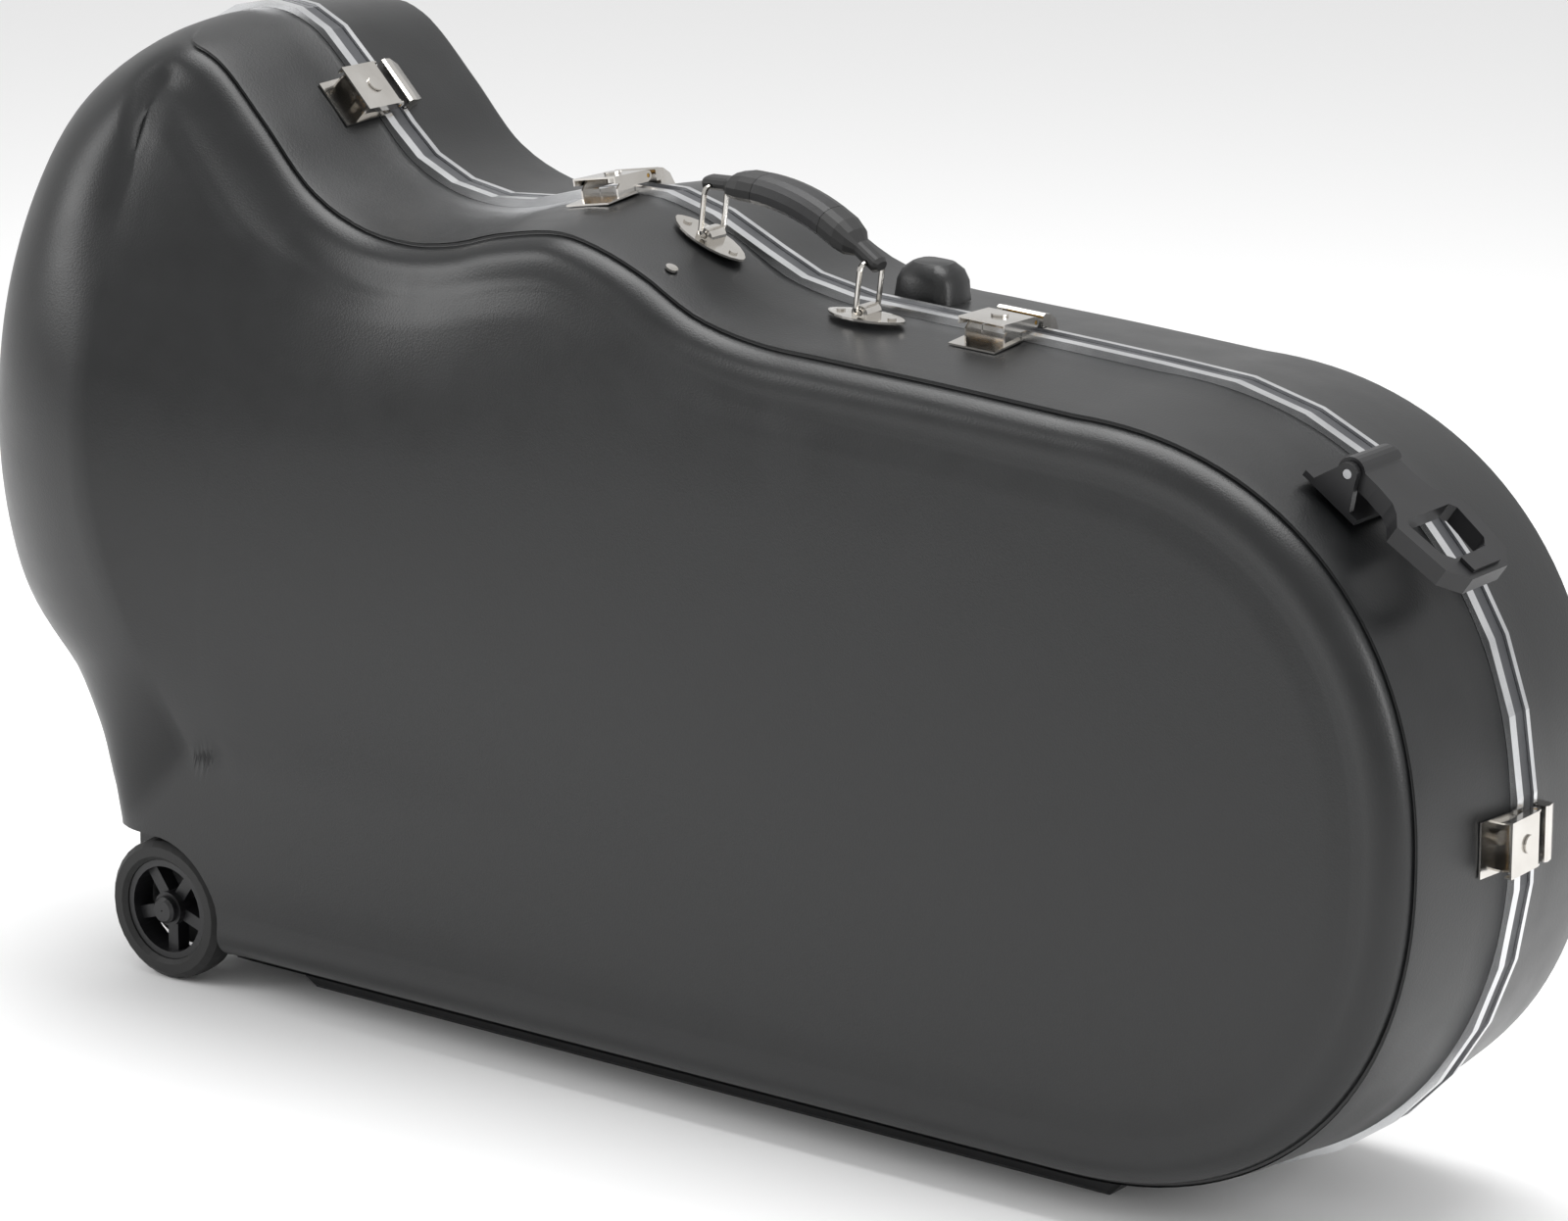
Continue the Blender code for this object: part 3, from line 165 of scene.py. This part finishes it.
def outline_samples(fine):
    """(point, outward normal, share of the way round) at a spacing that follows the curvature."""
    count = len(fine)
    step = (fine[1] - fine[0]).length
    reach = 6
    spacing = []
    for i in range(count):
        before = fine[i] - fine[i - reach]
        after = fine[(i + reach) % count] - fine[i]
        turn = abs(before.angle(after, 0.0)) / (reach * step)
        spacing.append(min(LONGEST_CHORD, math.sqrt(8.0 * CHORD_SAG / max(turn, 1e-6))))
    smooth = [min(spacing[(i + k) % count] + abs(k) * step * 0.5 for k in range(-40, 41)) for i in range(count)]
    pace = [0.0]
    for value in smooth:
        pace.append(pace[-1] + step / value)
    wanted = round(pace[-1])
    made = []
    k = 0
    for i in range(wanted):
        at = pace[-1] * i / wanted
        while pace[k + 1] < at:
            k += 1
        tangent = (fine[(k + 2) % count] - fine[k - 2]).normalized()
        made.append((fine[k], Vector((tangent.y, -tangent.x)), k / count))
    return made


FINE = fine_outline()
SAMPLES = outline_samples(FINE)
SPINE = (Vector((0.120, 0.400)), Vector((0.760, 0.270)))


def top_line():
    """Smoothed height of the outline's upper side, every 4 mm along X."""
    rough = []
    for k in range(-34, 251):
        near = [p.y for p in FINE if abs(p.x - 0.004 * k) < 0.005]
        rough.append(max(near) if near else 0.3)
    made = []
    for k in range(len(rough)):
        part = rough[max(0, k - 3):k + 4]
        made.append(sum(part) / len(part))
    return made


TOP = top_line()


def top_edge(x):
    at = min(len(TOP) - 1.001, max(0.0, x / 0.004 + 34))
    k = int(at)
    return blend(TOP[k], TOP[k + 1], at - k)


def bulge(x, z):
    """How far the bell's bulge stands out of the flat panel."""
    along = math.exp(-max(0.0, x - CREASE_X) / BELL_FLARE_LENGTH)
    reach = BELL_HALF_HEIGHT
    if z > BELL_CENTRE_Z:
        reach = min(reach, top_edge(max(CREASE_X, x)) - 0.015 - BELL_CENTRE_Z)
    share = min(1.0, abs(z - BELL_CENTRE_Z) / reach)
    return (BELL_DEPTH - PANEL_DEPTH) * along * (1.0 - share * share) ** 1.2


def dense(points, steps):
    return [tuple(point) for point in curve_through([Vector(point) for point in points], steps)]


OUTER_WALL = (
    (0.0, 0.0), (0.0040, 0.058), (0.0080, 0.1015), (0.0094, 0.1040), (0.0112, 0.1042), (0.0120, 0.1075), (0.0135, 0.1120),
    (0.0180, 0.1180), (0.0235, 0.1215), (0.0300, 0.1222), (0.0370, 0.1212), (PANEL_EDGE, 0.1207),
)
OUTER_DOME = (1.0, 0.998, 0.99, 0.975, 0.95, 0.91, 0.85, 0.76, 0.64, 0.48, 0.26, 0.0)


def world(x, y, z):
    return Vector((x + AXLE_X, y, z))


def end_share(x, z):
    """1 on the domed bell end, 0 where the wall is upright, with a smooth change between."""
    if z > 0.3:
        return smooth_step((0.045 - x) / 0.045)
    return smooth_step((0.070 - x) / 0.050)


def half_rings(inset, seam, start_depth, wall, dome):
    """Rings of (x, depth, z) from start_depth to the middle of the panel, inset from the outer surface."""
    ends = [k for k, (p, n, s) in enumerate(SAMPLES) if end_share(p.x, p.y) > 0.0]
    first, last = SAMPLES[ends[0]][2], SAMPLES[ends[-1]][2]
    rings = [[] for k in range(len(wall) + len(INNER_RINGS))]
    for point, normal, share in SAMPLES:
        start = point - normal * inset
        bell = end_share(point.x, point.y)
        way = min(1.0, max(0.0, (share - first) / (last - first)))
        crease = Vector((CREASE_X, blend(CREASE_TOP_Z, CREASE_BOTTOM_Z, way)))
        crease_depth = PANEL_DEPTH + bulge(CREASE_X, crease.y) - inset
        power = blend(FOOT_ROUNDING, END_ROUNDING, smooth_step((crease.y - 0.14) / 0.12))
        here = start
        for k, ((draft, depth), t) in enumerate(zip(wall, dome)):
            upright = (point if draft > PANEL_EDGE - 1e-6 else start) - normal * draft
            upright_depth = max(seam, depth - inset)
            upright_depth += bulge(upright.x, upright.y) * smooth_step((draft - 0.018) / (PANEL_EDGE - 0.018))
            domed = crease.lerp(start, t)
            rounding = max(0.0, 1.0 - t ** power) ** (1.0 / power)
            domed_depth = blend(seam, crease_depth, rounding)
            here = upright.lerp(domed, bell)
            rings[k].append((here.x, blend(upright_depth, domed_depth, bell), here.y))
        along = min(1.0, max(0.0, (point.x - CREASE_X) / (BOW_END_X - 0.12 - CREASE_X)))
        middle = SPINE[0].lerp(SPINE[1], along)
        for k, t in enumerate(INNER_RINGS):
            inner = here.lerp(middle, t)
            rings[len(wall) + k].append((inner.x, PANEL_DEPTH + bulge(inner.x, inner.y) - inset, inner.y))
    rings[0] = [extended(first, second, start_depth) for first, second in zip(rings[0], rings[1])]
    return rings


def extended(first, second, depth):
    """The point at this depth on the straight line through two (x, depth, z) points."""
    share = (depth - second[1]) / (first[1] - second[1])
    return (blend(second[0], first[0], share), depth, blend(second[2], first[2], share))


def solid_from_rings(name, rings, side):
    """Closed solid: a flat face on the first ring, walls through the rings, and a fill across the last."""
    shape = bmesh.new()
    loops = []
    for ring in rings:
        loops.append([shape.verts.new(world(x, side * depth, z)) for x, depth, z in ring])
    count = len(loops[0])
    for a, b in zip(loops, loops[1:]):
        for i in range(count):
            j = (i + 1) % count
            if (a[i].co - b[j].co).length < 0.9 * (a[j].co - b[i].co).length:
                shape.faces.new((a[i], a[j], b[j]))
                shape.faces.new((a[i], b[j], b[i]))
            else:
                shape.faces.new((a[i], a[j], b[i]))
                shape.faces.new((a[j], b[j], b[i]))
    shape.faces.new(loops[0])
    middle = shape.faces.new(loops[-1])
    bmesh.ops.triangulate(shape, faces=[middle], ngon_method="BEAUTY")
    bmesh.ops.recalc_face_normals(shape, faces=shape.faces)
    return bare_object(name, shape)


def bare_object(name, shape):
    mesh = bpy.data.meshes.new(name)
    shape.to_mesh(mesh)
    shape.free()
    made = bpy.data.objects.new(name, mesh)
    bpy.context.scene.collection.objects.link(made)
    return made


def with_boolean(target, other, operation):
    """Joins or cuts target by other for good, and removes other."""
    step = target.modifiers.new(operation, "BOOLEAN")
    step.operation = operation
    step.solver = "EXACT"
    step.object = other
    bpy.context.view_layer.update()
    graph = bpy.context.evaluated_depsgraph_get()
    mesh = bpy.data.meshes.new_from_object(target.evaluated_get(graph))
    target.modifiers.clear()
    old = target.data
    target.data = mesh
    bpy.data.meshes.remove(old)
    bpy.data.objects.remove(other, do_unlink=True)
    return target


def joined(first, *others):
    for other in others:
        with_boolean(first, other, "UNION")
    return first


def cut(target, *cutters):
    for cutter in cutters:
        with_boolean(target, cutter, "DIFFERENCE")
    return target


def prism(points, low, high, place=None):
    """A flat outline of (u, w) points drawn out along v from low to high, put in place by a matrix."""
    shape = bmesh.new()
    front = [shape.verts.new((u, low, w)) for u, w in points]
    back = [shape.verts.new((u, high, w)) for u, w in points]
    count = len(points)
    shape.faces.new(front)
    shape.faces.new(back)
    for i in range(count):
        j = (i + 1) % count
        shape.faces.new((front[i], front[j], back[j], back[i]))
    bmesh.ops.recalc_face_normals(shape, faces=shape.faces)
    if place is not None:
        shape.transform(place)
    return bare_object("prism", shape)


def loft(sections):
    """A solid through closed sections of equal count, with a face on each end."""
    shape = bmesh.new()
    loops = [[shape.verts.new(point) for point in section] for section in sections]
    count = len(loops[0])
    for a, b in zip(loops, loops[1:]):
        for i in range(count):
            j = (i + 1) % count
            shape.faces.new((a[i], a[j], b[j], b[i]))
    shape.faces.new(loops[0])
    shape.faces.new(loops[-1])
    bmesh.ops.recalc_face_normals(shape, faces=shape.faces)
    return bare_object("loft", shape)


def frame_at(x, z):
    """Matrix at the outline point nearest (x, z): u along the edge towards the bow, v along Y, w outwards."""
    target = Vector((x, z))
    k = min(range(len(FINE)), key=lambda i: (FINE[i] - target).length)
    tangent = (FINE[k - 3] - FINE[(k + 3) % len(FINE)]).normalized()
    at = world(FINE[k].x, 0.0, FINE[k].y)
    place = Matrix.Identity(4)
    place.col[0] = (tangent.x, 0.0, tangent.y, 0.0)
    place.col[1] = (0.0, 1.0, 0.0, 0.0)
    place.col[2] = (-tangent.y, 0.0, tangent.x, 0.0)
    place.col[3] = (*at, 1.0)
    return place


def wheel_recess(grow, back):
    """Prism of the wheel's corner recess, in front of the front half."""
    radius = RECESS_RADIUS + grow
    points = [(-0.300, -0.100), (radius, -0.100)]
    for k in range(13):
        angle = math.pi / 2.0 * k / 12
        points.append((radius * math.cos(angle), TYRE_RADIUS + radius * math.sin(angle)))
    points.append((-0.300, TYRE_RADIUS + radius))
    return prism(points, -0.400, -back, Matrix.Translation((AXLE_X, 0.0, 0.0)))


def mirrored(piece):
    """The piece on the other side of the split plane."""
    piece.data.transform(Matrix.Scale(-1.0, 4, (0.0, 1.0, 0.0)))
    piece.data.flip_normals()
    return piece


def bump():
    """Rounded moulded bump on the rear half's upper wall."""
    length, width, height = BUMP_SIZE
    place = frame_at(BUMP_X, 0.526)
    sections = []
    for share, scale in ((-0.13, 1.0), (0.45, 0.94), (0.78, 0.80), (1.0, 0.55)):
        ring = []
        for k in range(16):
            angle = math.tau * k / 16
            across = math.copysign(abs(math.cos(angle)) ** 0.6, math.cos(angle)) * length / 2.0 * scale
            along = math.copysign(abs(math.sin(angle)) ** 0.6, math.sin(angle)) * width / 2.0 * scale
            ring.append(place @ Vector((across, BUMP_Y + along, height * share)))
        sections.append(ring)
    return loft(sections)


def shell(rear):
    """Half shell with its groove, bead and bell bulge, finer than the frame's."""
    seam = REAR_RIB_Y[1] + SEAT if rear else -FRONT_RIB_Y[0] + SEAT
    wall = dense(OUTER_WALL, 3)
    dome = [share[0] for share in dense([(value, 0.0) for value in OUTER_DOME], 3)]
    outer = solid_from_rings("outer", half_rings(0.0, seam, seam, wall, dome), -1)
    inner = solid_from_rings("inner", half_rings(1.4 * WALL, seam, seam - 0.004, PLAIN_WALL, PLAIN_DOME), -1)
    cut(inner, wheel_recess(WALL, RECESS_BACK_Y - WALL))
    cut(outer, wheel_recess(0.0, RECESS_BACK_Y))
    made = cut(outer, inner)
    if rear:
        made = joined(mirrored(made), bump())
    return made


def lining(rear):
    """Foam lining under plush, inside the shell."""
    seam = REAR_RIB_Y[1] + SEAT if rear else -FRONT_RIB_Y[0] + SEAT
    outside = 1.4 * WALL + 0.0008
    made = solid_from_rings("lining", half_rings(outside, seam, seam, PLAIN_WALL, PLAIN_DOME), -1)
    hollow = half_rings(outside + 0.010, seam, seam - 0.004, PLAIN_WALL, PLAIN_DOME)
    cut(made, solid_from_rings("hollow", hollow, -1), wheel_recess(outside, RECESS_BACK_Y - outside))
    return mirrored(made) if rear else made


# Materials

def colour(code):
    """Linear colour from an sRGB hex code."""
    made = []
    for k in (0, 2, 4):
        value = int(code[k:k + 2], 16) / 255.0
        made.append(value / 12.92 if value <= 0.04045 else ((value + 0.055) / 1.055) ** 2.4)
    return (*made, 1.0)


def node(tree, kind, **values):
    made = tree.nodes.new(kind)
    for name, value in values.items():
        made.inputs[name.replace("_", " ")].default_value = value
    return made


def surface(name, dark, light, roughness, metallic=0.0, grain=600.0, relief=0.0001, spread=0.08, cells=False):
    """Material whose colour, roughness and fine relief follow a noise at a real size."""
    made = bpy.data.materials.new(name)
    made.use_nodes = True
    tree = made.node_tree
    shader = tree.nodes["Principled BSDF"]
    shader.inputs["Metallic"].default_value = metallic
    place = tree.nodes.new("ShaderNodeTexCoord")
    wide = node(tree, "ShaderNodeTexNoise", Scale=grain * 0.04, Detail=5.0)
    tree.links.new(place.outputs["Object"], wide.inputs["Vector"])
    ramp = tree.nodes.new("ShaderNodeValToRGB")
    ramp.color_ramp.elements[0].position = 0.3
    ramp.color_ramp.elements[1].position = 0.7
    ramp.color_ramp.elements[0].color = colour(dark)
    ramp.color_ramp.elements[1].color = colour(light)
    tree.links.new(wide.outputs["Fac"], ramp.inputs["Fac"])
    tree.links.new(ramp.outputs["Color"], shader.inputs["Base Color"])
    rough = node(tree, "ShaderNodeMapRange", To_Min=roughness - spread, To_Max=roughness + spread)
    tree.links.new(wide.outputs["Fac"], rough.inputs["Value"])
    tree.links.new(rough.outputs["Result"], shader.inputs["Roughness"])
    if cells:
        fine = node(tree, "ShaderNodeTexVoronoi", Scale=grain)
        height = fine.outputs["Distance"]
    else:
        fine = node(tree, "ShaderNodeTexNoise", Scale=grain, Detail=3.0)
        height = fine.outputs["Fac"]
    tree.links.new(place.outputs["Object"], fine.inputs["Vector"])
    bump_node = node(tree, "ShaderNodeBump", Strength=0.5, Distance=relief)
    tree.links.new(height, bump_node.inputs["Height"])
    tree.links.new(bump_node.outputs["Normal"], shader.inputs["Normal"])
    return made


LOOKS = {
    "shell": surface("leather_grained_abs", "0F1011", "151617", 0.36, grain=700.0, relief=0.00012, cells=True),
    "profile": surface("satin_aluminium", "C9CACC", "DEDFE0", 0.24, 1.0, grain=900.0, relief=0.00002),
    "band": surface("grey_profile_band", "36373A", "424346", 0.45, grain=900.0, relief=0.00003),
    "lining": surface("black_plush", "141416", "202024", 0.92, grain=1400.0, relief=0.0004),
    "plastic": surface("black_moulded_plastic", "141415", "1B1B1D", 0.38, grain=900.0, relief=0.00004),
    "tyre": surface("black_tyre_rubber", "171717", "1F1F1F", 0.62, grain=800.0, relief=0.00005),
    "rubber": surface("black_boot_rubber", "151515", "1D1D1D", 0.50, grain=900.0, relief=0.00004),
    "leather": surface("black_grained_leather", "121213", "1C1C1E", 0.42, grain=900.0, relief=0.0001, cells=True),
    "nickel": surface("nickel_plate", "C4C0BA", "D8D5D0", 0.16, 1.0, grain=700.0, relief=0.00001, spread=0.04),
    "brass": surface("brass", "B08A48", "C69F58", 0.28, 1.0, grain=700.0, relief=0.00001),
    "steel": surface("zinc_plated_steel", "A4A5A7", "BABBBD", 0.30, 1.0, grain=700.0, relief=0.00002),
}


def dress(piece, look):
    piece.data.materials.clear()
    piece.data.materials.append(LOOKS[look])
    for polygon in piece.data.polygons:
        polygon.material_index = 0


SLOTS = {entry["node"]: entry["material_slot"] for entry in frame["record"]["subparts"]}
for name, piece in frame["nodes"].items():
    dress(piece, SLOTS[name])
    if SLOTS[name] in ("nickel", "steel", "plastic", "profile") and not name.startswith("runner"):
        edge = piece.modifiers.new("edge", "BEVEL")
        edge.width = 0.0003
        edge.segments = 2
        edge.limit_method = "ANGLE"
        edge.angle_limit = math.radians(35.0)

for side, rear in (("front", False), ("rear", True)):
    made = shell(rear)
    made.name = f"{side}_moulded_shell"
    dress(made, "shell")
    made.data.shade_smooth()
    made.data.set_sharp_from_angle(angle=math.radians(38.0))
    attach(made, f"{side}_half")
    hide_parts(f"{side}_shell")
    made = lining(rear)
    made.name = f"{side}_plush_lining"
    dress(made, "lining")
    made.data.shade_smooth()
    made.data.set_sharp_from_angle(angle=math.radians(38.0))
    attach(made, f"{side}_half")
    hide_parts(f"{side}_lining")


# Stage

bpy.ops.mesh.primitive_plane_add(size=30.0)
floor = bpy.context.object
floor.name = "floor"
paper = bpy.data.materials.new("white_paper")
paper.use_nodes = True
paper.node_tree.nodes["Principled BSDF"].inputs["Base Color"].default_value = colour("FAFAFA")
paper.node_tree.nodes["Principled BSDF"].inputs["Roughness"].default_value = 0.9
floor.data.materials.append(paper)

sky = bpy.data.worlds.new("studio")
bpy.context.scene.world = sky
sky.use_nodes = True
sky.node_tree.nodes["Background"].inputs["Color"].default_value = colour("FFFFFF")
sky.node_tree.nodes["Background"].inputs["Strength"].default_value = 0.75


def soft_box(name, place, aim, size, power):
    lamp = bpy.data.lights.new(name, "AREA")
    lamp.shape = "RECTANGLE"
    lamp.size, lamp.size_y = size
    lamp.energy = power
    made = bpy.data.objects.new(name, lamp)
    made.location = place
    made.rotation_euler = (Vector(aim) - Vector(place)).to_track_quat("-Z", "Y").to_euler()
    bpy.context.scene.collection.objects.link(made)


soft_box("top_light", (0.0, 0.3, 2.6), (0.0, 0.0, 0.4), (2.6, 1.6), 60.0)
soft_box("left_light", (-2.2, -1.8, 1.6), (0.0, 0.0, 0.3), (1.2, 1.6), 26.0)
soft_box("right_light", (2.8, 0.2, 1.2), (0.3, 0.0, 0.3), (0.8, 1.6), 20.0)

view = bpy.data.cameras.new("camera")
view.lens = 135.0
view.sensor_width = 36.0
camera = bpy.data.objects.new("camera", view)
camera.location = (2.2202, -2.9307, 1.3316)
camera.rotation_euler = (math.radians(74.5), 0.0, math.radians(37.0))
bpy.context.scene.collection.objects.link(camera)
scene = bpy.context.scene
scene.camera = camera
scene.view_settings.view_transform = "Standard"
